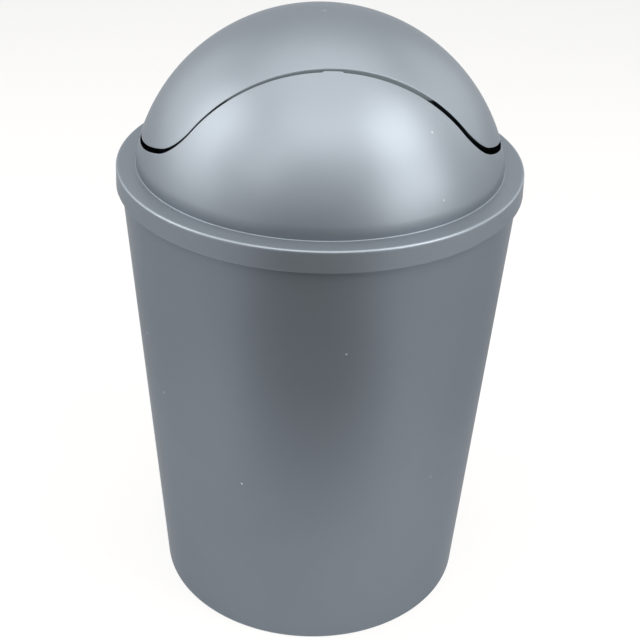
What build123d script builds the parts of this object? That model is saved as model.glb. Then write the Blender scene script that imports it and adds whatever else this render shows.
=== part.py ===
"""Swing-lid trash can: a tapered round bucket, a lift-off hood with a domed rim, and a swing flap.

Three mouldings in thin plastic.  The hood rests on the bucket's mouth and lifts straight off.  The
flap is a saddle cut from the same ball as the hood's dome.  It hangs by two stub pins in the eyes of
two arms that lean up inside the hood.  The pins lie a little above the flap's centre of mass, so it
swings shut by its own weight.

Millimetres, +Z up, -Y is the front.  The origin is the middle of the floor that the bucket stands on.
"""
import os
from math import acos, cos, degrees, radians, sin, sqrt, tan

from build123d import *

os.makedirs("parts", exist_ok=True)

# Bucket
bucket_height = 482.6
base_radius = 164.8
mouth_radius = 197.4
bucket_wall = 2.0
floor_wall = 2.8
base_edge_chamfer = 1.5
floor_corner_chamfer = 5.0
foot_ring_width = 9.0
foot_ring_height = 5.0
floor_disc_radius = 96.0
floor_step = 2.0
rim_bead_height = 6.0
rim_bead_depth = 0.5

# Hood: skirt, flat flange, dome, and the ring that centres it in the bucket's mouth
skirt_wall = 2.2
skirt_gap = 0.5
skirt_height = 21.0
skirt_flare = 0.7
flange_wall = 2.4
flange_edge_chamfer = 1.2
flange_width = 19.4
dome_height = 148.2
dome_wall = 2.0
dome_foot_wall = 7.4
dome_foot_blend = 5.0
locating_ring_depth = 9.0
locating_ring_wall = 1.8
locating_ring_gap = 0.6
thumb_notch_count = 3
thumb_notch_angle = -43.0
thumb_notch_length = 28.0
thumb_notch_height = 1.0

# The window cut across the dome, seen from the side: straight edges, round corners, shallow valleys
window_half_width = 94.5
window_corner_radius = 32.4
valley_height = 22.0
valley_radius = 210.0
land_width = 18.0
land_offset = 3.0
land_rise = 1.2

# Flap, and the gaps that it keeps inside the window
side_gap = 3.8
valley_gap = 5.5
flap_wall = 2.0
flap_skew = 0.9
lip_wall = 1.8
lip_drop = 53.7

# Swing bearing
pivot_drop = 38.2
pin_radius = 3.5
pin_clearance = 0.06
pin_overhang = 2.0
pin_chamfer = 0.6
collar_radius = 5.5
collar_play = 0.4
eye_wall = 3.6
eye_clearance = 3.4
arm_wall = 4.0
arm_head_drop = 12.0
arm_foot_length = 47.2
arm_foot_width = 30.0
arm_foot_rise = 2.0
arm_rib_wall = 2.4
arm_rib_depth = 7.0
lug_wall = 3.0
lug_gap = 2.6
lug_radius = 7.5
lug_rib_length = 14.0

# Places that follow from the sizes above
floor_top = foot_ring_height + floor_wall
wall_slope = (mouth_radius - base_radius) / bucket_height
skirt_inner_radius = mouth_radius + rim_bead_depth + skirt_gap
skirt_radius = skirt_inner_radius + skirt_wall
rim_height = bucket_height + flange_wall
total_height = rim_height + dome_height
dome_foot_radius = skirt_radius - flange_width
cap_height = dome_height - dome_foot_wall
dome_radius = (dome_foot_radius**2 + cap_height**2) / (2 * cap_height)
ball_height = total_height - dome_radius
ball_centre = Vector(0, 0, ball_height)
flap_half_width = window_half_width - side_gap
flap_bottom = valley_height + valley_gap
flap_corner_radius = window_corner_radius - (side_gap + valley_gap) / 2
flap_valley_radius = valley_radius - valley_gap
pivot = total_height - pivot_drop
eye_radius = pin_radius + pin_clearance + eye_wall
eye_reach = dome_radius - flap_wall - eye_clearance
arm_inset = sqrt(eye_reach**2 - (pivot + eye_radius - ball_height) ** 2)
head_inset = arm_inset - arm_wall
lug_inset = arm_inset + lug_gap
arm_foot_reach = dome_foot_radius - arm_foot_length

# The swing axis is skewed a little about Z, so the flap sits askew in its window
axis_direction = Vector(cos(radians(flap_skew)), sin(radians(flap_skew)), 0)
side_direction = Vector(-sin(radians(flap_skew)), cos(radians(flap_skew)), 0)
swing_side = Plane(origin=(0, 0, 0), x_dir=side_direction, z_dir=axis_direction)
swing_front = Plane(origin=(0, 0, 0), x_dir=axis_direction, z_dir=-side_direction)
swing_floor = Plane(origin=ball_centre, x_dir=side_direction, z_dir=(0, 0, -1))


def bucket_radius(height):
    """Outer radius of the bucket's straight tapered wall at a height above the floor."""
    return base_radius + wall_slope * height


def ball_edge(ball, foot_radius):
    """Height at which a ball about the dome's centre is as wide as a radius, and the angle there."""
    angle = acos(foot_radius / ball)
    return ball_height + ball * sin(angle), degrees(angle)


def nearest(sketch, across, up):
    """The corner of an upright section that lies nearest to a point given across and up."""
    return sketch.vertices().sort_by_distance((across, up, 0))[0]


def side_outline(plane, half_width, bottom, corner, valley):
    """Side view of the window or the flap: a tall slot with a shallow round valley for its floor."""
    with BuildSketch(plane) as outline:
        with Locations((0, bottom)):
            Rectangle(2 * half_width, total_height, align=(Align.CENTER, Align.MIN))
        with Locations((0, bottom + valley)):
            Circle(valley, mode=Mode.INTERSECT)
        fillet(outline.vertices().group_by(Axis.Y)[0], corner)
    return outline.sketch


# Bucket: one tapered wall on a foot ring, with a stepped floor and a beaded rim
bead_foot = bucket_height - rim_bead_height
ring_inner = base_radius - foot_ring_width
wall_foot = bucket_radius(floor_top) - bucket_wall
with BuildPart() as bucket:
    with BuildSketch(Plane.XZ) as bucket_section:
        with BuildLine():
            Polyline(
                (0, foot_ring_height + floor_step),
                (floor_disc_radius, foot_ring_height + floor_step),
                (floor_disc_radius + floor_step, foot_ring_height),
                (ring_inner, foot_ring_height),
                (ring_inner, 0),
                (base_radius, 0),
                (bucket_radius(bead_foot), bead_foot),
                (bucket_radius(bead_foot) + rim_bead_depth, bead_foot + rim_bead_depth),
                (mouth_radius + rim_bead_depth, bucket_height),
                (mouth_radius - bucket_wall, bucket_height),
                (wall_foot, floor_top),
                (floor_disc_radius + floor_step, floor_top),
                (floor_disc_radius, floor_top + floor_step),
                (0, floor_top + floor_step),
                close=True,
            )
        make_face()
        chamfer(nearest(bucket_section, base_radius, 0), base_edge_chamfer)
        chamfer(nearest(bucket_section, wall_foot, floor_top), floor_corner_chamfer)
    revolve(axis=Axis.Z)

bucket.part.label = "bucket"
export_step(bucket.part, "parts/bucket.step")

# Arm: a flat foot from the hood's wall, a leaning stem with a rib behind it, and an upright eye
foot_top = rim_height + arm_foot_rise
foot_under = rim_height - flange_wall
head_foot = pivot - eye_radius - arm_head_drop
arm_root = dome_foot_radius - dome_wall / 2
with BuildPart() as arm:
    with BuildSketch(swing_front) as arm_section:
        with BuildLine():
            Polyline(
                (arm_root, foot_top),
                (arm_foot_reach, foot_top),
                (arm_inset, head_foot),
                (arm_inset, pivot + eye_radius),
                (head_inset, pivot + eye_radius),
                (head_inset, head_foot),
                (arm_foot_reach - arm_wall, foot_under),
                (arm_root, foot_under),
                close=True,
            )
        make_face()
    extrude(amount=arm_foot_width / 2, both=True)
    with BuildSketch(swing_side) as arm_front:
        with BuildLine():
            Polyline(
                (-arm_foot_width / 2, foot_under),
                (arm_foot_width / 2, foot_under),
                (eye_radius, pivot),
                (-eye_radius, pivot),
                close=True,
            )
        make_face()
        with Locations((0, pivot)):
            Circle(eye_radius)
    extrude(amount=dome_radius, mode=Mode.INTERSECT)
    with BuildSketch(swing_front) as arm_rib:
        with BuildLine():
            Polyline(
                (arm_foot_reach - arm_wall, foot_under),
                (head_inset, head_foot),
                (head_inset - arm_rib_depth / 2, head_foot - arm_rib_depth),
                (arm_foot_reach - arm_wall - arm_rib_depth - arm_rib_depth, foot_under),
                close=True,
            )
        make_face()
    extrude(amount=arm_rib_wall / 2, both=True)
    with BuildSketch(swing_side.offset(head_inset)) as eye_bore:
        with Locations((0, pivot)):
            Circle(pin_radius + pin_clearance)
    extrude(amount=arm_wall, mode=Mode.SUBTRACT)

# Land: a low step in the middle of the front edge of the window
with BuildPart() as land:
    with Locations((land_offset, land_rise - window_half_width, total_height)):
        Box(land_width, 2 * land_rise, dome_height / 2, align=(Align.CENTER, Align.MAX, Align.CENTER))
    with Locations(ball_centre):
        Sphere(dome_radius, mode=Mode.INTERSECT)
        Sphere(dome_radius - dome_wall, mode=Mode.SUBTRACT)

# Hood: revolved skirt, flange and dome, cut by the window, with an arm on each side
ring_outer = bucket_radius(bucket_height - locating_ring_depth) - bucket_wall - locating_ring_gap
dome_inner = dome_radius - dome_wall
foot_inner = dome_foot_radius - dome_wall
outer_edge, outer_angle = ball_edge(dome_radius, dome_foot_radius)
inner_edge, inner_angle = ball_edge(dome_inner, foot_inner)
blend_radius = dome_foot_blend / tan(radians(outer_angle / 2))
skirt_foot = rim_height - skirt_height
with BuildPart() as hood:
    with BuildSketch(Plane.XZ) as hood_section:
        with BuildLine():
            CenterArc((0, ball_height), dome_radius, outer_angle, 90 - outer_angle)
            Polyline(
                (dome_foot_radius, outer_edge),
                (dome_foot_radius, rim_height),
                (skirt_radius, rim_height),
                (skirt_radius + skirt_flare, skirt_foot),
                (skirt_inner_radius + skirt_flare, skirt_foot),
                (skirt_inner_radius, bucket_height),
                (ring_outer, bucket_height),
                (ring_outer, bucket_height - locating_ring_depth),
                (ring_outer - locating_ring_wall, bucket_height - locating_ring_depth),
                (ring_outer - locating_ring_wall, bucket_height),
                (foot_inner, bucket_height),
                (foot_inner, inner_edge),
            )
            CenterArc((0, ball_height), dome_inner, inner_angle, 90 - inner_angle)
            Line((0, total_height - dome_wall), (0, total_height))
        make_face()
        fillet(nearest(hood_section, dome_foot_radius, outer_edge), blend_radius)
        fillet(nearest(hood_section, foot_inner, inner_edge), blend_radius - dome_wall)
        chamfer(nearest(hood_section, skirt_radius, rim_height), flange_edge_chamfer)
    revolve(axis=Axis.Z)
    window_outline = side_outline(
        Plane.YZ, window_half_width, rim_height + valley_height, window_corner_radius, valley_radius
    )
    extrude(window_outline, amount=dome_radius, both=True, mode=Mode.SUBTRACT)
    add(land.part)
    with Locations((0, 0, skirt_foot)):
        with PolarLocations(skirt_radius, thumb_notch_count, start_angle=thumb_notch_angle):
            Box(4 * skirt_wall, thumb_notch_length, 2 * thumb_notch_height, mode=Mode.SUBTRACT)
    add(arm.part)
    mirror(arm.part, about=Plane(origin=(0, 0, 0), z_dir=axis_direction))

hood.part.label = "hood"
export_step(hood.part, "parts/hood.step")

# Flap: a band of the dome's ball, a lip behind each straight edge, and a pinned lug on each side
lip_radius = sqrt((dome_radius - flap_wall / 2) ** 2 - flap_half_width**2)
with BuildPart() as lug:
    with BuildSketch(swing_side.offset(lug_inset)) as lug_plate:
        with Locations((0, pivot)):
            Circle(lug_radius)
            Rectangle(2 * lug_radius, dome_height, align=(Align.CENTER, Align.MIN))
    extrude(amount=lug_wall)
    with BuildSketch(swing_front) as lug_rib:
        with BuildLine():
            Polyline(
                (lug_inset, pivot - lug_radius / 2),
                (lug_inset + lug_wall, pivot - lug_radius / 2),
                (lug_inset + lug_wall + lug_rib_length, pivot),
                (lug_inset + lug_wall + lug_rib_length, total_height),
                (lug_inset, total_height),
                close=True,
            )
        make_face()
    extrude(amount=arm_rib_wall / 2, both=True)
    with Locations(ball_centre):
        Sphere(dome_radius - flap_wall / 2, mode=Mode.INTERSECT)
    with BuildSketch(swing_side.offset(arm_inset + collar_play)) as collar:
        with Locations((0, pivot)):
            Circle(collar_radius)
    extrude(amount=lug_gap - collar_play)
    with BuildSketch(swing_side.offset(head_inset - pin_overhang)) as pin:
        with Locations((0, pivot)):
            Circle(pin_radius)
    extrude(amount=arm_wall + pin_overhang + collar_play)
    pin_end = lug.faces().sort_by(Axis((0, 0, 0), axis_direction))[0]
    chamfer(pin_end.edges(), pin_chamfer)

with BuildPart() as flap:
    with BuildSketch(swing_floor) as flap_section:
        Circle(dome_radius)
        Circle(dome_radius - flap_wall, mode=Mode.SUBTRACT)
        Rectangle(2 * flap_half_width, dome_radius, align=(Align.CENTER, Align.MIN), mode=Mode.INTERSECT)
    revolve(axis=Axis(ball_centre, -side_direction), revolution_arc=180)
    flap_outline = side_outline(
        swing_side, flap_half_width, rim_height + flap_bottom, flap_corner_radius, flap_valley_radius
    )
    extrude(flap_outline, amount=dome_radius, both=True, mode=Mode.INTERSECT)
    for side in (-1, 1):
        with BuildSketch(swing_front.offset(side * flap_half_width)) as lip:
            with Locations((0, ball_height)):
                Circle(lip_radius)
            with Locations((0, total_height - lip_drop)):
                Rectangle(2 * dome_radius, dome_height, align=(Align.CENTER, Align.MIN), mode=Mode.INTERSECT)
        extrude(amount=-side * lip_wall)
    add(lug.part)
    mirror(lug.part, about=Plane(origin=(0, 0, 0), z_dir=axis_direction))

flap.part.label = "swing_flap"
export_step(flap.part, "parts/swing_flap.step")

for piece in (bucket, hood, flap):
    box = piece.part.bounding_box()
    print(
        piece.part.label,
        f"{piece.part.volume / 1000:.1f} cm3",
        f"{len(piece.part.solids())} solid",
        f"x {box.min.X:.1f}..{box.max.X:.1f}",
        f"y {box.min.Y:.1f}..{box.max.Y:.1f}",
        f"z {box.min.Z:.1f}..{box.max.Z:.1f}",
    )
mass_centre = flap.part.center(CenterOf.MASS)
print(f"flap's centre of mass is {pivot - mass_centre.Z:.2f} mm under its pins, {mass_centre.Y:.2f} aside")
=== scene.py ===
"""Swing-lid trash can in silver plastic: a tapered bucket, a lift-off hood and a swing flap.

Metres, +Z up, -Y is the front.  The origin is the middle of the floor that the bucket stands on.
"""
from math import atan2, cos, radians, sin, sqrt, tan

import bmesh
import bpy
import numpy as np
from mathutils import Matrix, Vector


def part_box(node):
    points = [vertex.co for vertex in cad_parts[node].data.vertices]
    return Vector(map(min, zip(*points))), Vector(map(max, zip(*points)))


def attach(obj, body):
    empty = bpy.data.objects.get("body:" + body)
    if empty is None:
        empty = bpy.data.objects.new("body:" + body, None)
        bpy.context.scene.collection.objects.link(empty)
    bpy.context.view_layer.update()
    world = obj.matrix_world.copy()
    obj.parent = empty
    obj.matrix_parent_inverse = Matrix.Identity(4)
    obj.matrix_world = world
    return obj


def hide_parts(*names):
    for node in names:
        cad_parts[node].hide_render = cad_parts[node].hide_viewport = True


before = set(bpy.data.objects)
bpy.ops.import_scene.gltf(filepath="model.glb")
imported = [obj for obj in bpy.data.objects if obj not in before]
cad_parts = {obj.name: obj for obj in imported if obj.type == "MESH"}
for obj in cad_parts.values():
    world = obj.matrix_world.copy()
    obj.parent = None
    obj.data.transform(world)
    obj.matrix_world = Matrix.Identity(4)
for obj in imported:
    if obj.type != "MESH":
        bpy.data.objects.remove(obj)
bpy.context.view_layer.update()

# Bucket: one injection-moulded wall that tapers so that empty buckets stack.  It stands on a low foot
# ring, its floor steps up in the middle, and a bead stiffens the rim that the hood's skirt covers.
bucket_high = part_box("bucket")[1]
rim_bead_depth = 0.0005
rim_bead_height = 0.006
bucket_height = bucket_high.z
mouth_radius = min(bucket_high.x, bucket_high.y) - rim_bead_depth
base_radius = 0.1648
bucket_wall = 0.002
floor_wall = 0.0028
foot_ring_width = 0.009
foot_ring_height = 0.005
floor_disc_radius = 0.096
floor_step = 0.002
turns_around = 720
panel_curve = 100
edge_curve = 600
merge_distance = 1e-6
sliver_length = 1e-7


def rounded_profile(corners, radii, steps=6, support=0.0015):
    """An open line through corners (across, up) with each inner corner turned by an arc.

    An arc of radius q touches its two sides at q / tan(half the angle between them) from the corner,
    and its centre lies on the bisector at q / sin(half).  Each straight keeps a point near both ends.
    """
    corners = np.asarray(corners, float)
    radii = np.asarray(radii, float)[:, None]
    here = corners[1:-1]
    back = corners[:-2] - here
    ahead = corners[2:] - here
    back /= np.linalg.norm(back, axis=1, keepdims=True)
    ahead /= np.linalg.norm(ahead, axis=1, keepdims=True)
    half = np.arccos(np.clip(np.sum(back * ahead, 1, keepdims=True), -1, 1)) / 2
    bisector = (back + ahead) / np.linalg.norm(back + ahead, axis=1, keepdims=True)
    centre = here + bisector * radii / np.sin(half)
    start = here + back * radii / np.tan(half) - centre
    end = here + ahead * radii / np.tan(half) - centre
    turn = (np.pi - 2 * half)[:, None]
    share = np.linspace(0, 1, steps)[None, :, None]
    arcs = centre[:, None] + (
        np.sin((1 - share) * turn) * start[:, None] + np.sin(share * turn) * end[:, None]
    ) / np.sin(turn)
    leave = np.vstack([corners[:1], arcs[:, -1]])
    arrive = np.vstack([arcs[:, 0], corners[-1:]])
    span = np.linalg.norm(arrive - leave, axis=1, keepdims=True)
    near = np.minimum(support, span / 3) / span
    straights = np.stack([leave + near * (arrive - leave), arrive - near * (arrive - leave)], 1)
    inner = np.concatenate([arcs, straights[1:]], 1).reshape(-1, 2)
    return np.vstack([corners[:1], straights[0], inner, corners[-1:]])


def revolved(profile, steps=turns_around):
    """A line (radius, height) carried round the Z axis: x = radius cos t, y = radius sin t."""
    turn = np.linspace(0, 2 * np.pi, steps, endpoint=False)[:, None]
    radius, height = profile[None, :, 0], profile[None, :, 1]
    return np.stack(np.broadcast_arrays(radius * np.cos(turn), radius * np.sin(turn), height), -1)


def grid_faces(points, wrap_rows, wrap_columns):
    """Faces of a grid of points (rows, columns, 3): each four neighbours make one."""
    rows, columns = points.shape[:2]
    index = np.arange(rows * columns).reshape(rows, columns)
    if wrap_rows:
        index = np.vstack([index, index[:1]])
    if wrap_columns:
        index = np.hstack([index, index[:, :1]])
    return np.stack([index[:-1, :-1], index[:-1, 1:], index[1:, 1:], index[1:, :-1]], -1).reshape(-1, 4)


def surface_piece(name, grids, body, material, wrap_rows=False, wrap_columns=True):
    """A piece from grids of points, each a closed skin once its poles and seams are merged."""
    counts = [points.shape[0] * points.shape[1] for points in grids]
    starts = np.concatenate([[0], np.cumsum(counts)[:-1]])
    corners = np.concatenate([points.reshape(-1, 3) for points in grids])
    faces = np.concatenate(
        [grid_faces(points, wrap_rows, wrap_columns) + start for points, start in zip(grids, starts)]
    )
    mesh = bpy.data.meshes.new(name)
    mesh.from_pydata(corners.tolist(), [], faces.tolist())
    return finished_piece(name, mesh, body, material)


def mark_edges(mesh):
    """Writes an attribute that is 0 on a smooth panel and 1 along a rounded outer edge.

    Between two neighbours the skin turns by (normal a - normal b) . (place a - place b) / distance^2,
    which is 1 / radius on a round surface.  A vertex keeps the sharpest turn of its neighbours.
    """
    places = np.empty(len(mesh.vertices) * 3)
    normals = np.empty(len(mesh.vertices) * 3)
    ends = np.empty(len(mesh.edges) * 2, int)
    mesh.vertices.foreach_get("co", places)
    mesh.vertex_normals.foreach_get("vector", normals)
    mesh.edges.foreach_get("vertices", ends)
    first, second = ends.reshape(-1, 2).T
    step = places.reshape(-1, 3)[first] - places.reshape(-1, 3)[second]
    swing = normals.reshape(-1, 3)[first] - normals.reshape(-1, 3)[second]
    turn = np.sum(step * swing, 1) / np.maximum(np.sum(step * step, 1), 1e-12)
    sharpest = np.zeros(len(mesh.vertices))
    np.maximum.at(sharpest, first, turn)
    np.maximum.at(sharpest, second, turn)
    edge = mesh.attributes.new("edge", "FLOAT", "POINT")
    edge.data.foreach_set("value", np.clip((sharpest - panel_curve) / (edge_curve - panel_curve), 0, 1))


def finished_piece(name, mesh, body, material):
    """Merges a mesh's doubles, turns its faces outwards, smooths it and hangs it on its body."""
    shape = bmesh.new()
    shape.from_mesh(mesh)
    bmesh.ops.remove_doubles(shape, verts=shape.verts, dist=merge_distance)
    bmesh.ops.dissolve_degenerate(shape, edges=shape.edges, dist=sliver_length)
    bmesh.ops.recalc_face_normals(shape, faces=shape.faces)
    shape.to_mesh(mesh)
    shape.free()
    mesh.polygons.foreach_set("use_smooth", np.ones(len(mesh.polygons), bool))
    mark_edges(mesh)
    mesh.materials.append(material)
    piece = bpy.data.objects.new(name, mesh)
    bpy.context.scene.collection.objects.link(piece)
    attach(piece, body)
    return piece


silver_colour = (0.176, 0.204, 0.241, 1)
silver_roughness = 0.42
silver_metallic = 0.66
grazing_tint = (0.45, 0.46, 0.48, 1)
dust_colour = (0.60, 0.62, 0.64, 1)
dust_scale = 24.0
dust_size = 0.028
gloss_level = 0.25
grain_scale = 1500.0
grain_tone = 0.10
grain_bump = 0.12
grain_height = 0.00004
flow_scale = 7.0
handling_scale = 22.0
handling_roughness = 0.08
edge_polish = 0.3
moulded = bpy.data.node_groups.new("moulded_silver", "ShaderNodeTree")
for socket in ("Silver", "Dust"):
    moulded.interface.new_socket(socket, in_out="INPUT", socket_type="NodeSocketColor")
for socket in ("Base Roughness", "Flow", "Edge Highlight And Polish", "Specks"):
    moulded.interface.new_socket(socket, in_out="INPUT", socket_type="NodeSocketFloat")
moulded.interface.new_socket("Color", in_out="OUTPUT", socket_type="NodeSocketColor")
for socket in ("Roughness", "Height"):
    moulded.interface.new_socket(socket, in_out="OUTPUT", socket_type="NodeSocketFloat")


def placed(tree, kind, **settings):
    """A new node of a tree with its settings and the values of its named inputs."""
    node = tree.nodes.new(kind)
    for key, value in settings.items():
        if hasattr(node, key):
            setattr(node, key, value)
        else:
            node.inputs[key].default_value = value
    return node


def linked(tree, *pairs):
    """Joins pairs of an output and an input socket."""
    for leaving, arriving in pairs:
        tree.links.new(leaving, arriving)


def number(tree, operation, first, second):
    """A Math node's output from two sockets or plain numbers."""
    node = tree.nodes.new("ShaderNodeMath")
    node.operation = operation
    for socket, value in zip(node.inputs, (first, second)):
        if isinstance(value, (int, float)):
            socket.default_value = value
        else:
            tree.links.new(value, socket)
    return node.outputs[0]


def noise_about_zero(tree, place, **settings):
    """A Noise texture less its middle value, so that it lightens as much as it darkens."""
    noise = placed(tree, "ShaderNodeTexNoise", **settings)
    tree.links.new(place, noise.inputs["Vector"])
    return number(tree, "SUBTRACT", noise.outputs["Fac"], 0.5)


inputs = moulded.nodes.new("NodeGroupInput").outputs
outputs = moulded.nodes.new("NodeGroupOutput").inputs
on_piece = moulded.nodes.new("ShaderNodeTexCoord").outputs["Object"]
edge = placed(moulded, "ShaderNodeAttribute", attribute_name="edge").outputs["Fac"]
grain = noise_about_zero(moulded, on_piece, Scale=grain_scale, Detail=2.0, Roughness=0.6)
melt_flow = noise_about_zero(
    moulded, on_piece, Scale=flow_scale, Detail=4.0, Roughness=0.55, Distortion=0.6
)
handling = noise_about_zero(moulded, on_piece, Scale=handling_scale, Detail=4.0, Roughness=0.6)
flow_share = number(moulded, "MULTIPLY", melt_flow, inputs["Flow"])
# Along rounded edges the colour is lightened, a painted highlight, and the roughness is lowered by
# edge_polish, a polish.
edge_highlight_and_polish_share = number(moulded, "MULTIPLY", edge, inputs["Edge Highlight And Polish"])
pigment = number(moulded, "ADD", flow_share, number(moulded, "MULTIPLY", grain, grain_tone))
tone = number(moulded, "ADD", number(moulded, "ADD", pigment, edge_highlight_and_polish_share), 1.0)
toned = placed(moulded, "ShaderNodeMix", data_type="RGBA", blend_type="MULTIPLY")
toned.inputs[0].default_value = 1.0
specks = placed(moulded, "ShaderNodeTexVoronoi", Scale=dust_scale)
speck = number(moulded, "LESS_THAN", specks.outputs["Distance"], dust_size)
dusted = placed(moulded, "ShaderNodeMix", data_type="RGBA")
handled = number(
    moulded, "ADD", inputs["Base Roughness"], number(moulded, "MULTIPLY", handling, handling_roughness)
)
burnished = number(moulded, "SUBTRACT", handled, number(moulded, "MULTIPLY", edge_highlight_and_polish_share, edge_polish))
linked(
    moulded,
    (on_piece, specks.inputs["Vector"]),
    (inputs["Silver"], toned.inputs[6]),
    (tone, toned.inputs[7]),
    (number(moulded, "MULTIPLY", speck, inputs["Specks"]), dusted.inputs[0]),
    (toned.outputs[2], dusted.inputs[6]),
    (inputs["Dust"], dusted.inputs[7]),
    (dusted.outputs[2], outputs["Color"]),
    (burnished, outputs["Roughness"]),
    (grain, outputs["Height"]),
)


def silver_material(name, colour, flow, edge_highlight_and_polish, specks, metallic=silver_metallic):
    """Satin plastic with metal pigment: its tone drifts where the melt flowed, and along rounded edges its
    colour is lightened, a painted highlight, and its roughness lowered, a polish.
    """
    material = bpy.data.materials.new(name)
    material.use_nodes = True
    tree = material.node_tree
    shader = tree.nodes["Principled BSDF"]
    shader.inputs["Metallic"].default_value = metallic
    shader.inputs["Specular IOR Level"].default_value = gloss_level
    shader.inputs["Specular Tint"].default_value = grazing_tint
    plastic = placed(tree, "ShaderNodeGroup", node_tree=moulded)
    for socket, value in {
        "Silver": colour,
        "Dust": dust_colour,
        "Base Roughness": silver_roughness,
        "Flow": flow,
        "Edge Highlight And Polish": edge_highlight_and_polish,
        "Specks": specks,
    }.items():
        plastic.inputs[socket].default_value = value
    bump = placed(tree, "ShaderNodeBump", Strength=grain_bump, Distance=grain_height)
    linked(
        tree,
        (plastic.outputs["Color"], shader.inputs["Base Color"]),
        (plastic.outputs["Roughness"], shader.inputs["Roughness"]),
        (plastic.outputs["Height"], bump.inputs["Height"]),
        (bump.outputs["Normal"], shader.inputs["Normal"]),
    )
    return material


bucket_silver = silver_material("bucket_silver", silver_colour, flow=0.10, edge_highlight_and_polish=0.15, specks=0.8)

wall_slope = (mouth_radius - base_radius) / bucket_height
floor_top = foot_ring_height + floor_wall
ring_inner = base_radius - foot_ring_width
bead_foot = bucket_height - rim_bead_height
bead_inner = base_radius + wall_slope * bead_foot
wall_foot = base_radius + wall_slope * floor_top - bucket_wall
bucket_profile = rounded_profile(
    [
        (0, foot_ring_height + floor_step),
        (floor_disc_radius, foot_ring_height + floor_step),
        (floor_disc_radius + floor_step, foot_ring_height),
        (ring_inner, foot_ring_height),
        (ring_inner, 0),
        (base_radius, 0),
        (bead_inner, bead_foot),
        (bead_inner + rim_bead_depth, bead_foot + rim_bead_depth),
        (mouth_radius + rim_bead_depth, bucket_height),
        (mouth_radius - bucket_wall, bucket_height),
        (wall_foot, floor_top),
        (floor_disc_radius + floor_step, floor_top),
        (floor_disc_radius, floor_top + floor_step),
        (0, floor_top + floor_step),
    ],
    [0.001, 0.001, 0.0008, 0.0008, 0.002, 0.0002, 0.0002, 0.0008, 0.0008, 0.009, 0.001, 0.001],
)
bucket = surface_piece(
    "bucket_shell", [revolved(bucket_profile)], "bin", bucket_silver, True, False
)
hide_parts("bucket")

# Hood: skirt, flat flange and dome in one thin moulding of silver plastic, resting on the bucket's
# mouth.  A ring under the flange centres it, and the window for the flap is cut right across the dome.
lid_colour = (0.188, 0.217, 0.254, 1)
lid_silver = silver_material("lid_silver", lid_colour, flow=0.08, edge_highlight_and_polish=0.12, specks=0.3)
total_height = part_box("swing_flap")[1].z
flange_wall = 0.0024
rim_height = bucket_height + flange_wall
skirt_wall = 0.0022
skirt_gap = 0.0005
skirt_flare = 0.0007
skirt_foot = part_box("hood")[0].z
skirt_inner_radius = mouth_radius + rim_bead_depth + skirt_gap
skirt_radius = skirt_inner_radius + skirt_wall
dome_foot_radius = skirt_radius - 0.0194
dome_wall = 0.002
dome_foot_wall = 0.0074
dome_foot_blend = 0.005
cap_height = total_height - rim_height - dome_foot_wall
dome_radius = (dome_foot_radius**2 + cap_height**2) / (2 * cap_height)
ball_height = total_height - dome_radius
locating_ring_depth = 0.009
locating_ring_wall = 0.0018
locating_ring_gap = 0.0006
window_half_width = 0.0945
window_corner_radius = 0.0324
valley_height = 0.022
valley_radius = 0.210
edge_rounding = 0.0003
window_wall = 0.0009
thinning_run = 0.016
edge_support = 0.001
run_turn = 0.001
dome_rows = 25
row_crowding = 1.5
land_width = 0.018
land_offset = 0.003
land_rise = 0.0012
land_ramp = 0.001
notch_angles = np.radians([-43, 77, 197])
notch_length = 0.028
notch_height = 0.001
notch_ramp = 0.0015
notch_fade = 0.004


def slot_floor(across, half_width, bottom, corner, valley):
    """Height of a slot's floor at a distance across: a shallow round valley, turned up at each side.

    The valley is a circle about (0, bottom + valley).  The corner circle touches it from inside and
    touches the upright side, so its centre is at half_width - corner across, and valley - corner from
    the valley's centre.
    """
    across = np.minimum(np.abs(across), half_width)
    corner_across = half_width - corner
    corner_up = bottom + valley - sqrt((valley - corner) ** 2 - corner_across**2)
    meeting = corner_across * valley / (valley - corner)
    in_valley = bottom + valley - np.sqrt(valley**2 - across**2)
    in_corner = corner_up - np.sqrt(np.maximum(corner**2 - (across - corner_across) ** 2, 0))
    return np.where(across < meeting, in_valley, in_corner)


def smooth_step(values):
    """0 below 0, 1 above 1, and 3 v^2 - 2 v^3 in between."""
    values = np.clip(values, 0, 1)
    return values * values * (3 - 2 * values)


def window_edge(turn, ball):
    """Angle above the ball's middle where the window cuts each meridian of a ball.

    Going up a meridian the surface enters the window once, when it is both nearer the middle than
    the window's side and higher than its floor, so halving the interval finds the crossing.
    """
    low = np.zeros_like(turn)
    high = np.full_like(turn, np.pi / 2)
    for _ in range(40):
        angle = (low + high) / 2
        x = ball * np.cos(angle) * np.cos(turn)
        y = ball * np.cos(angle) * np.sin(turn)
        height = ball_height + ball * np.sin(angle)
        bump = smooth_step((land_width / 2 - np.abs(x - land_offset)) / land_ramp + 0.5) * (y < 0)
        half_width = window_half_width - land_rise * bump
        bottom = rim_height + valley_height
        floor = slot_floor(y, window_half_width, bottom, window_corner_radius, valley_radius)
        inside = (np.abs(y) < half_width) & (height > floor)
        high = np.where(inside, angle, high)
        low = np.where(inside, low, angle)
    return (low + high) / 2


def eased_corner(before, corner, after, reach, steps=4):
    """Points that round a corner: a quadratic curve from reach before it to reach past it."""
    start = corner + (before - corner) * reach / np.linalg.norm(before - corner, axis=-1, keepdims=True)
    end = corner + (after - corner) * reach / np.linalg.norm(after - corner, axis=-1, keepdims=True)
    share = np.linspace(0, 1, steps)[:, None]
    start, corner, end = start[:, None], corner[:, None], end[:, None]
    return (1 - share) ** 2 * start + 2 * share * (1 - share) * corner + share**2 * end


def on_ball(ball, angle):
    """(radius, height) of a point of a ball about the dome's centre, angle above its middle."""
    return np.stack([ball * np.cos(angle), ball_height + ball * np.sin(angle)], -1)


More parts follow.
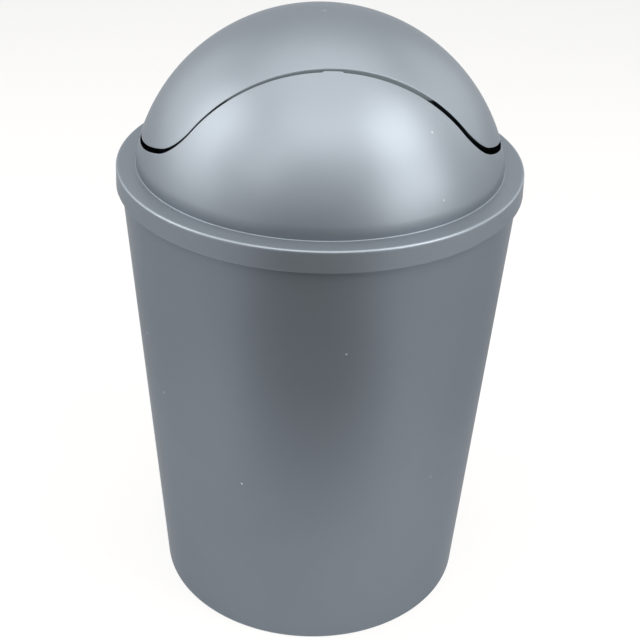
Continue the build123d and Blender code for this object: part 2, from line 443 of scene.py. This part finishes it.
dome_inner = dome_radius - dome_wall
foot_inner = dome_foot_radius - dome_wall
ring_outer = mouth_radius - wall_slope * locating_ring_depth - bucket_wall - locating_ring_gap
ring_inner_side = ring_outer - locating_ring_wall
ring_foot = bucket_height - locating_ring_depth
foot_turn = np.arccos(dome_foot_radius / dome_radius)
blend_radius = dome_foot_blend / tan(foot_turn / 2)
blend_across = dome_foot_radius - blend_radius
blend_up = ball_height + sqrt((dome_radius - blend_radius) ** 2 - blend_across**2)
blend_angle = atan2(blend_up - ball_height, blend_across)
around = np.linspace(0, 2 * np.pi, turns_around, endpoint=False)
blend = np.linspace(0, blend_angle, 8)


def foot_blend(wall):
    """The arc that turns a wall of the dome's foot into the ball, at a depth into the plastic."""
    radius = blend_radius - wall
    return np.stack([blend_across + radius * np.cos(blend), blend_up + radius * np.sin(blend)], -1)


def dome_side(ball, edge, thinning=0.0):
    """Meridians of one side of the dome from the blend up to the window, closer spaced near it.

    Over the last stretch before the window the skin moves outwards by the thinning, as a smooth step.
    """
    near = edge - (edge_rounding + edge_support) / ball
    share = 1 - (1 - np.linspace(0, 1, dome_rows)[None, 1:]) ** row_crowding
    angle = blend_angle + (near[:, None] - blend_angle) * share
    moved = thinning * smooth_step(1 - (edge[:, None] - angle) * ball / thinning_run)
    return on_ball(ball + moved, angle)


outer_edge = window_edge(around, dome_radius)
thin_inner = dome_radius - window_wall
inner_edge = window_edge(around, thin_inner)
outer_corner = on_ball(dome_radius, outer_edge)
inner_corner = on_ball(thin_inner, inner_edge)
outer_run = on_ball(dome_radius, outer_edge - run_turn)
inner_run = on_ball(thin_inner, inner_edge - run_turn)
skirt_profile = rounded_profile(
    [
        (foot_inner, blend_up),
        (foot_inner, bucket_height),
        (ring_inner_side, bucket_height),
        (ring_inner_side, ring_foot),
        (ring_outer, ring_foot),
        (ring_outer, bucket_height),
        (skirt_inner_radius, bucket_height),
        (skirt_inner_radius + skirt_flare, skirt_foot),
        (skirt_radius + skirt_flare, skirt_foot),
        (skirt_radius, rim_height),
        (dome_foot_radius, rim_height),
        (dome_foot_radius, blend_up),
    ],
    [0.0008, 0.0004, 0.0005, 0.0005, 0.0004, 0.0006, 0.0006, 0.0007, 0.0018, 0.0008],
    steps=4,
)


def every_meridian(line):
    """One (radius, height) line repeated for every meridian."""
    return np.broadcast_to(line, (turns_around, *line.shape))


hood_meridians = np.concatenate(
    [
        every_meridian(skirt_profile[:-1]),
        every_meridian(foot_blend(0)),
        dome_side(dome_radius, outer_edge),
        eased_corner(outer_run, outer_corner, inner_corner, edge_rounding),
        eased_corner(outer_corner, inner_corner, inner_run, edge_rounding),
        dome_side(dome_inner, inner_edge, dome_wall - window_wall)[:, ::-1],
        every_meridian(foot_blend(dome_wall)[::-1]),
    ],
    axis=1,
).copy()
notch_turn = np.min(np.abs((around[:, None] - notch_angles + np.pi) % (2 * np.pi) - np.pi), axis=1)
notch_lift = notch_height * smooth_step((notch_length / 2 - notch_turn * skirt_radius) / notch_ramp + 0.5)
on_skirt = hood_meridians[..., 0] > skirt_inner_radius - skirt_gap
lifted = on_skirt * smooth_step(1 - (hood_meridians[..., 1] - skirt_foot) / notch_fade)
hood_meridians[..., 1] += notch_lift[:, None] * lifted
hood_points = np.stack(
    [
        hood_meridians[..., 0] * np.cos(around)[:, None],
        hood_meridians[..., 0] * np.sin(around)[:, None],
        hood_meridians[..., 1],
    ],
    -1,
)
hood = surface_piece("hood_shell", [hood_points], "lid", lid_silver, True)
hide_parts("hood")

# Flap: a saddle cut from the dome's own ball, moulded in the same silver plastic and thinner towards
# its edges.  Its skin is closed loops about its long axis, eased along every edge, with the sprue's
# small mark in the middle of the top.
side_gap = 0.0038
valley_gap = 0.0055
flap_wall = 0.002
flap_rounding = 0.0004
flap_rounding_limit = 0.45
flap_support = 0.0016
flap_seam = 1e-7
flap_skew = radians(0.9)
flap_half_width = window_half_width - side_gap
flap_bottom = rim_height + valley_height + valley_gap
flap_corner_radius = window_corner_radius - (side_gap + valley_gap) / 2
flap_valley_radius = valley_radius - valley_gap


def turned(points):
    """Points drawn square to the flap's own axes, turned about Z by the flap's small skew."""
    x, y, z = np.moveaxis(points, -1, 0)
    along, beside = cos(flap_skew), sin(flap_skew)
    return np.stack([x * along - y * beside, x * beside + y * along, z], -1)


gate_radius = 0.0024
gate_depth = 0.00045
gate_lines = np.linspace(-gate_radius, gate_radius, 17)
across_turn = np.linspace(-np.pi / 2, np.pi / 2, 121)
across = np.union1d((flap_half_width - flap_rounding) * np.sin(across_turn), gate_lines)


def ball_point(ball, across, angle):
    """Point of a ball at a distance across, angle from upright about the flap's long axis."""
    circle = np.sqrt(ball**2 - across**2)
    return np.stack([circle * np.sin(angle), across + 0 * angle, ball_height + circle * np.cos(angle)], -1)


flap_reach = dome_radius * np.arccos((flap_bottom - ball_height) / dome_radius) - flap_support


def flap_ring(across, ball_out, ball_in):
    """Closed loops round the wall: the outer arc, an eased end, the inner arc and the other end.

    Near both ends the inner arc moves outwards, as a smooth step, to leave the thin wall of the edge.
    """
    ball_out = np.broadcast_to(ball_out, across.shape)
    ball_in = np.broadcast_to(ball_in, across.shape)
    edge_in = np.maximum(ball_in, ball_out - window_wall)
    floor = slot_floor(across, flap_half_width, flap_bottom, flap_corner_radius, flap_valley_radius)
    out_end = np.arccos((floor - ball_height) / np.sqrt(ball_out**2 - across**2))
    in_end = np.arccos((floor - ball_height) / np.sqrt(edge_in**2 - across**2))
    share = np.union1d(np.linspace(-1, 1, 181), gate_lines / flap_reach)[None]
    wide = across[:, None]
    out_arc = ball_point(ball_out[:, None], wide, (out_end - flap_support / dome_radius)[:, None] * share)
    in_angle = (in_end - flap_support / dome_radius)[:, None] * share
    thinned = smooth_step(1 - (in_end[:, None] - np.abs(in_angle)) * dome_radius / thinning_run)
    in_arc = ball_point(ball_in[:, None] + (edge_in - ball_in)[:, None] * thinned, wide, in_angle)
    parts = [out_arc]
    for side in (1, -1):
        out_corner = ball_point(ball_out, across, side * out_end)
        in_corner = ball_point(edge_in, across, side * in_end)
        out_run = ball_point(ball_out, across, side * (out_end - run_turn))
        in_run = ball_point(edge_in, across, side * (in_end - run_turn))
        thickness = np.linalg.norm(out_corner - in_corner, axis=-1)
        reach = np.minimum(flap_rounding, flap_rounding_limit * thickness)[:, None]
        outer = eased_corner(out_run, out_corner, in_corner, reach)
        inner = eased_corner(out_corner, in_corner, in_run, reach)
        ends = np.concatenate([outer, inner], 1)
        parts += [ends, in_arc[:, ::-1]] if side == 1 else [ends[:, ::-1]]
    return np.concatenate(parts, 1)


beside_edge = smooth_step(1 - (flap_half_width - np.abs(across)) / thinning_run)
main_wall = flap_wall - (flap_wall - window_wall) * beside_edge
main_loops = flap_ring(across, dome_radius, dome_radius - main_wall)
rounds = []
for turn in np.radians([30, 60, 90]):
    draw_in = flap_rounding * (1 - cos(turn))
    reach = flap_half_width - flap_rounding * (1 - sin(turn))
    for side in (-1, 1):
        rounds.append(
            flap_ring(np.array([side * reach]), dome_radius - draw_in, dome_radius - window_wall + draw_in)
        )
middle = dome_radius - window_wall / 2
closing = [
    flap_ring(np.array([side * flap_half_width]), middle + flap_seam, middle - flap_seam) for side in (-1, 1)
]
flap_points = np.concatenate(
    [closing[0], rounds[4], rounds[2], rounds[0], main_loops, rounds[1], rounds[3], rounds[5], closing[1]]
)
from_gate = np.minimum(np.hypot(flap_points[..., 0], flap_points[..., 1]) / gate_radius, 1)
on_outside = flap_points[..., 2] > total_height - flap_wall / 2
flap_points[..., 2] -= on_outside * gate_depth * np.sin(np.pi * from_gate) ** 2
flap = surface_piece("flap_skin", [turned(flap_points)], "flap", lid_silver)
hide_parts("swing_flap")

# Lips: moulded in one with the flap, a flat web stands behind each of its straight edges.  It stiffens
# the skin and closes the view through the gap while the flap is shut.
lip_wall = 0.0018
lip_drop = 0.0537
lip_bite = 0.0005
lip_foot = total_height - lip_drop
lip_radius = sqrt((dome_radius - lip_bite) ** 2 - flap_half_width**2)
lip_edge = 0.0004
lip_support = 0.002
lip_top_inset = 0.0005
lip_end = sqrt(lip_radius**2 - (lip_foot - ball_height) ** 2)


def with_closed_ends(loops):
    """A tube of loops whose first and last loop are each drawn together to their middle point."""
    middles = np.broadcast_to(loops[[0, -1]].mean(1, keepdims=True), loops[[0, -1]].shape)
    return np.concatenate([middles[:1], loops, middles[1:]])


def lip(side):
    """A web whose section, drawn round at its foot, is cut off above by the circle of the skin."""
    turn = np.linspace(-np.pi / 2, np.pi / 2, 81)[:, None]
    x = lip_end * np.sin(turn)
    bend = np.radians([0, 30, 60, 90])
    draw_in = lip_edge * (1 - np.cos(bend))
    rise = lip_edge * (1 - np.sin(bend))
    foot_across = np.concatenate([[0] * 3, draw_in, lip_wall - draw_in[::-1], [lip_wall] * 3])
    foot_up = np.concatenate([[1, 1, lip_support], rise, rise[::-1], [lip_support, 1, 1]])
    under_top = np.array([0] + [lip_top_inset] * (len(foot_up) - 2) + [0]) * np.cos(turn)
    ceiling = ball_height + np.sqrt(lip_radius**2 - x**2)
    z = np.minimum(lip_foot + foot_up, ceiling - under_top)
    y = side * (flap_half_width - foot_across[None])
    return turned(with_closed_ends(np.stack(np.broadcast_arrays(x, y, z), -1)))


matt_colour = (0.157, 0.195, 0.224, 1)
matt_silver = silver_material(
    "matt_silver", matt_colour, flow=0.08, edge_highlight_and_polish=0.1, specks=0.3, metallic=0.1
)
surface_piece("flap_lips", [lip(-1), lip(1)], "flap", matt_silver)

# Hangers: under each shoulder of the flap a ribbed lug carries a collar and a stub pin, all moulded
# in one with the skin.  The pins snap into the hood's eyes, and the flap swings on them.
pivot_drop = 0.0382
pivot = total_height - pivot_drop
pin_radius = 0.0035
pin_clearance = 0.00006
pin_overhang = 0.002
pin_chamfer = 0.0006
collar_radius = 0.0055
collar_play = 0.0004
eye_wall = 0.0036
eye_clearance = 0.0034
eye_radius = pin_radius + pin_clearance + eye_wall
arm_wall = 0.004
arm_inset = sqrt((dome_radius - flap_wall - eye_clearance) ** 2 - (pivot + eye_radius - ball_height) ** 2)
head_inset = arm_inset - arm_wall
lug_wall = 0.003
lug_gap = 0.0026
lug_inset = arm_inset + lug_gap
lug_radius = 0.0075
lug_rib_length = 0.014
lug_fan_rise = 0.002
lug_rib_fan = 0.006
skin_bite = 0.0014
collar_bite = 0.0005
rib_bite = 0.001
rib_wall = 0.0024
web_edge = 0.0004


def web(outline, middle, near, far):
    """A flat plate (thickness, across, up) from its outline: a fan, an eased edge, a wall and back."""
    outline = np.asarray(outline, float)
    ray = outline - middle
    ray /= np.linalg.norm(ray, axis=1, keepdims=True)
    inset = np.array([1e3, 4, 1, 0.3, 0, 0, 0.3, 1, 4, 1e3])[:, None, None] * web_edge
    inset = np.minimum(inset, np.linalg.norm(outline - middle, axis=1)[None, :, None])
    depth = np.array([0, 0, 0, 0.3, 1, -1, -0.3, 0, 0, 0]) * web_edge
    depth = depth + np.array([near] * 5 + [far] * 5)
    flat = outline[None] - inset * ray[None]
    return np.concatenate([np.broadcast_to(depth[:, None, None], flat.shape[:2] + (1,)), flat], -1)


def under_skin(points):
    """Lowers what stands above the skin's inside to a little way into the skin."""
    x, y, z = np.moveaxis(points, -1, 0)
    ceiling = ball_height + np.sqrt((dome_radius - skin_bite) ** 2 - x**2 - y**2)
    return np.stack([x, y, np.minimum(z, ceiling)], -1)


def both_sides(points):
    """The same shape on the left and on the right."""
    return [turned(points), turned(points * (-1, 1, 1))]


def drawn_line(corners, pieces):
    """A closed line through corners, each side divided into equal pieces."""
    corners = np.asarray(corners, float)
    share = np.linspace(0, 1, pieces, endpoint=False)[None, :, None]
    return (corners[:, None] * (1 - share) + np.roll(corners, -1, 0)[:, None] * share).reshape(-1, 2)


lower_half = np.linspace(np.pi, 2 * np.pi, 25)
lug_bottom = np.stack([lug_radius * np.cos(lower_half), pivot + lug_radius * np.sin(lower_half)], -1)
lug_top = drawn_line(
    [(lug_radius, pivot), (lug_radius, total_height), (-lug_radius, total_height), (-lug_radius, pivot)], 8
)[1:-7]
lug = web(np.vstack([lug_bottom, lug_top]), (0, pivot + lug_fan_rise), lug_inset, lug_inset + lug_wall)
rib_end = lug_inset + lug_wall + lug_rib_length
lug_rib_outline = drawn_line(
    [
        (lug_inset + rib_bite, pivot - lug_radius / 2),
        (lug_inset + lug_wall, pivot - lug_radius / 2),
        (rib_end, pivot),
        (rib_end, total_height),
        (lug_inset + rib_bite, total_height),
    ],
    8,
)
lug_rib = web(lug_rib_outline, (lug_inset + lug_rib_fan, pivot), -rib_wall / 2, rib_wall / 2)[..., [1, 0, 2]]
pin_line = rounded_profile(
    [
        (head_inset - pin_overhang, 0),
        (head_inset - pin_overhang, pin_radius - pin_chamfer),
        (head_inset - pin_overhang + pin_chamfer, pin_radius),
        (arm_inset + collar_play, pin_radius),
        (arm_inset + collar_play, collar_radius),
        (lug_inset + collar_bite, collar_radius),
        (lug_inset + collar_bite, 0),
    ],
    [0.0002, 0.0002, 0.0002, 0.0003, 0.0002],
    support=0.0004,
)
pin_turn = np.linspace(0, 2 * np.pi, 64, endpoint=False)[:, None]
pin_place, pin_width = pin_line.T[:, None]
pin_points = np.stack(
    np.broadcast_arrays(pin_place, pin_width * np.cos(pin_turn), pivot + pin_width * np.sin(pin_turn)), -1
)
lugs = both_sides(under_skin(lug)) + both_sides(under_skin(lug_rib))
surface_piece("flap_lugs", lugs, "flap", lid_silver)
surface_piece("flap_pins", both_sides(np.swapaxes(pin_points, 0, 1)), "flap", lid_silver)

# Arms: moulded in one with the hood, a ribbed arm leans up from each side of its foot to an eye
# that holds a pin of the flap.  Its root is thin and narrow, so that it stays out of sight in the gap.
arm_head_drop = 0.012
arm_foot_reach = dome_foot_radius - 0.0472
arm_foot_half = 0.015
arm_foot_wall = 0.0019
arm_root_half = 0.0065
arm_root_spread = 0.32
arm_rib_depth = 0.007
stem_drop = 0.001
eye_foot_wall = 0.002
arm_root = dome_foot_radius - dome_wall / 2
foot_under = bucket_height
foot_top = foot_under + arm_foot_wall
head_foot = pivot - eye_radius - arm_head_drop
arm_taper = (arm_foot_half - eye_radius) / (pivot - foot_under)
stem_top = pivot - pin_radius - stem_drop
bends = [0.004, 0.012]
arm_outer = rounded_profile(
    [(arm_root, foot_top), (arm_foot_reach, foot_top), (arm_inset, head_foot), (arm_inset, stem_top)], bends
)
arm_inner = rounded_profile(
    [
        (arm_root, foot_under),
        (arm_foot_reach - arm_wall, foot_under),
        (head_inset, head_foot),
        (head_inset, stem_top),
    ],
    bends,
)
middle_across, middle_up = ((arm_outer + arm_inner) / 2).T
arm_half = np.minimum(arm_foot_half, eye_radius + arm_taper * (pivot - middle_up))
root_half = arm_root_half + arm_root_spread * (arm_root - middle_across)
arm_half = np.minimum(arm_half, root_half)[:, None]
ease = web_edge * (1 - np.cos(np.radians([0, 45, 90])))
across_loop = np.concatenate(
    [arm_half - ease[::-1], arm_half - ease, -arm_half + ease[::-1], -arm_half + ease], 1
)
depth_in = ease / arm_wall
thick_loop = np.concatenate([depth_in, 1 - depth_in[::-1], 1 - depth_in, depth_in[::-1]])[None, :, None]
side_loop = arm_outer[:, None] * (1 - thick_loop) + arm_inner[:, None] * thick_loop
arm_stem = with_closed_ends(np.stack([side_loop[..., 0], across_loop, side_loop[..., 1]], -1))
eye_turn = np.linspace(0, 2 * np.pi, 72, endpoint=False)
beside = np.abs(np.cos(eye_turn)) - arm_taper * np.abs(np.sin(eye_turn))
below = np.maximum(-np.sin(eye_turn), 1e-6)
lower_reach = np.minimum(eye_radius / np.maximum(beside, 1e-6), (pin_radius + eye_foot_wall) / below)
eye_reach = np.where(np.sin(eye_turn) >= 0, eye_radius, lower_reach)
bore = pin_radius + pin_clearance
inset = np.array([1, 0.3, 0, 0, 0.3, 1]) * web_edge
depth = np.array([head_inset] * 3 + [arm_inset] * 3) + np.array([0, 0.3, 1, -1, -0.3, 0]) * web_edge
outer_reach = eye_reach[None] - inset[:, None]
inner_reach = bore + inset[::-1, None] * 0.5 + 0 * eye_reach[None]
reach = np.concatenate([outer_reach, inner_reach])
depths = np.concatenate([depth, depth[::-1]])[:, None] + 0 * reach
eye = np.stack([depths, reach * np.cos(eye_turn)[None], pivot + reach * np.sin(eye_turn)[None]], -1)
arm_rib = web(
    drawn_line(
        [
            (arm_foot_reach - arm_wall + rib_bite, foot_under),
            (head_inset + rib_bite, head_foot),
            (head_inset - arm_rib_depth / 2, head_foot - arm_rib_depth),
            (arm_foot_reach - arm_wall - 2 * arm_rib_depth, foot_under),
        ],
        6,
    ),
    ((arm_foot_reach + head_inset) / 2 - arm_rib_depth, (foot_under + head_foot) / 2),
    -rib_wall / 2,
    rib_wall / 2,
)[..., [1, 0, 2]]
surface_piece("hood_arms", both_sides(arm_stem) + both_sides(arm_rib), "lid", lid_silver)
surface_piece("hood_eyes", both_sides(eye), "lid", lid_silver, True)

# Studio: white paper under the part and white all round it, a soft box high on each front side, a
# wide one overhead, and the dark of the room in front, which only the plastic's gloss picks up.
ball_middle = Vector((0, 0, ball_height))
lamp_colour = (1.0, 0.95, 0.865)


def soft_box(name, azimuth, elevation, away, width, depth, radiance):
    """A lamp of a given radiance towards the dome's middle, azimuth from the front, to the right."""
    lamp = bpy.data.lights.new(name, "AREA")
    lamp.shape = "RECTANGLE"
    lamp.size, lamp.size_y = width, depth
    lamp.energy = radiance * np.pi * width * depth
    lamp.color = lamp_colour
    box = bpy.data.objects.new(name, lamp)
    bpy.context.scene.collection.objects.link(box)
    azimuth, elevation = radians(azimuth), radians(elevation)
    towards = Vector((cos(elevation) * sin(azimuth), -cos(elevation) * cos(azimuth), sin(elevation)))
    box.location = ball_middle + away * towards
    box.rotation_euler = towards.to_track_quat("Z", "Y").to_euler()
    box.visible_camera = False


for name, azimuth, elevation, away, width, depth, radiance in (
    ("right_box", 61, 46, 1.8, 1.0, 0.9, 6.9),
    ("right_low_box", 55, 17, 1.8, 1.2, 0.7, 4.6),
    ("right_back_box", 122, 24, 1.8, 1.3, 1.1, 1.6),
    ("left_box", -89, 38, 1.8, 0.9, 0.9, 5.5),
    ("left_low_box", -85, 14, 1.8, 1.2, 0.6, 2.7),
    ("left_back_box", -125, 24, 1.8, 1.3, 1.1, 1.6),
    ("left_front_box", -45, 36, 1.8, 0.8, 0.7, 2.4),
    ("front_box", -8, 58, 1.8, 1.3, 0.8, 3.5),
    ("overhead_box", 180, 84, 2.1, 2.2, 1.7, 2.0),
):
    soft_box(name, azimuth, elevation, away, width, depth, radiance)


def seen_or_mirrored(tree):
    """1 for rays from the camera and for mirrored and refracted rays, 0 for scattered light."""
    path = tree.nodes.new("ShaderNodeLightPath").outputs
    glossy = number(tree, "MAXIMUM", path["Is Camera Ray"], path["Is Glossy Ray"])
    return number(tree, "MAXIMUM", glossy, path["Is Transmission Ray"])


def stage_sheet(name, corners, material):
    """A flat sheet through four corners that belongs to the studio and not to the part."""
    mesh = bpy.data.meshes.new(name)
    mesh.from_pydata(corners, [], [(0, 1, 2, 3)])
    mesh.materials.append(material)
    sheet = bpy.data.objects.new(name, mesh)
    bpy.context.scene.collection.objects.link(sheet)
    return sheet


white_share = 0.8
paper_colour = (0.8, 0.8, 0.8, 1)
paper_roughness = 0.9
paper = bpy.data.materials.new("white_paper")
paper.use_nodes = True
tree = paper.node_tree
tree.nodes["Principled BSDF"].inputs["Base Color"].default_value = paper_colour
tree.nodes["Principled BSDF"].inputs["Roughness"].default_value = paper_roughness
lit = placed(tree, "ShaderNodeEmission", Strength=1.0)
blended = tree.nodes.new("ShaderNodeMixShader")
linked(
    tree,
    (number(tree, "MULTIPLY", seen_or_mirrored(tree), white_share), blended.inputs[0]),
    (tree.nodes["Principled BSDF"].outputs[0], blended.inputs[1]),
    (lit.outputs[0], blended.inputs[2]),
    (blended.outputs[0], tree.nodes["Material Output"].inputs["Surface"]),
)
stage_sheet("floor", [(-20, -20, 0), (20, -20, 0), (20, 20, 0), (-20, 20, 0)], paper)

# Dim glowing sheets that only the plastic's gloss sees: painted shade in its reflections, darker towards the
# room in front and over the floor before and beside the can.
dark_sheets = {
    "room_front": (0.2, [(-1.3, -1.7, 0), (0.9, -1.7, 0), (0.9, -1.7, 0.95), (-1.3, -1.7, 0.95)]),
    "table_front": (
        0.07,
        [(-0.9, -1.7, 0.002), (0.5, -1.7, 0.002), (0.38, -0.43, 0.002), (-0.5, -0.43, 0.002)],
    ),
    "table_left": (
        0.78,
        [(-1.7, -1.3, 0.002), (-0.7, -1.3, 0.002), (-0.42, 0.5, 0.002), (-1.5, 0.5, 0.002)],
    ),
    "table_right": (
        0.7,
        [(0.5, -1.3, 0.002), (1.5, -1.3, 0.002), (1.5, 0.5, 0.002), (0.38, 0.5, 0.002)],
    ),
}
for name, (strength, corners) in dark_sheets.items():
    dim = bpy.data.materials.new(name)
    dim.use_nodes = True
    glow = placed(dim.node_tree, "ShaderNodeEmission", Strength=strength)
    linked(dim.node_tree, (glow.outputs[0], dim.node_tree.nodes["Material Output"].inputs["Surface"]))
    sheet = stage_sheet(name, corners, dim)
    sheet.visible_camera = False
    sheet.visible_diffuse = False
    sheet.visible_shadow = False

world = bpy.data.worlds.new("studio")
bpy.context.scene.world = world
world.use_nodes = True
tree = world.node_tree
background = tree.nodes["Background"]
background.inputs["Color"].default_value = (1, 1, 1, 1)
scattered_share = 0.30
seen_rest = number(tree, "MULTIPLY", seen_or_mirrored(tree), 1 - scattered_share)
strength = number(tree, "ADD", seen_rest, scattered_share)
linked(tree, (strength, background.inputs["Strength"]))
bpy.context.scene.view_settings.view_transform = "Standard"

# Camera: it stands 1.2 m in front of the can and 1 m up, and looks down at it.  Its place, its tilt
# and the length of its lens are those that fit the can's outline best.
lens_length = 73.34
pitch, yaw, roll = 0.53693, 0.06746, 0.02995
camera_place = Vector((-0.07605, -1.18897, 1.00678))
forward = Vector((sin(yaw) * cos(pitch), cos(yaw) * cos(pitch), -sin(pitch)))
level_right = Vector((cos(yaw), -sin(yaw), 0))
level_up = level_right.cross(forward)
right = level_right * cos(roll) + level_up * sin(roll)
up = level_up * cos(roll) - level_right * sin(roll)
camera = bpy.data.objects.new("camera", bpy.data.cameras.new("camera"))
bpy.context.scene.collection.objects.link(camera)
camera.data.lens = lens_length
camera.matrix_world = Matrix.Translation(camera_place) @ Matrix((right, up, -forward)).transposed().to_4x4()
bpy.context.scene.camera = camera
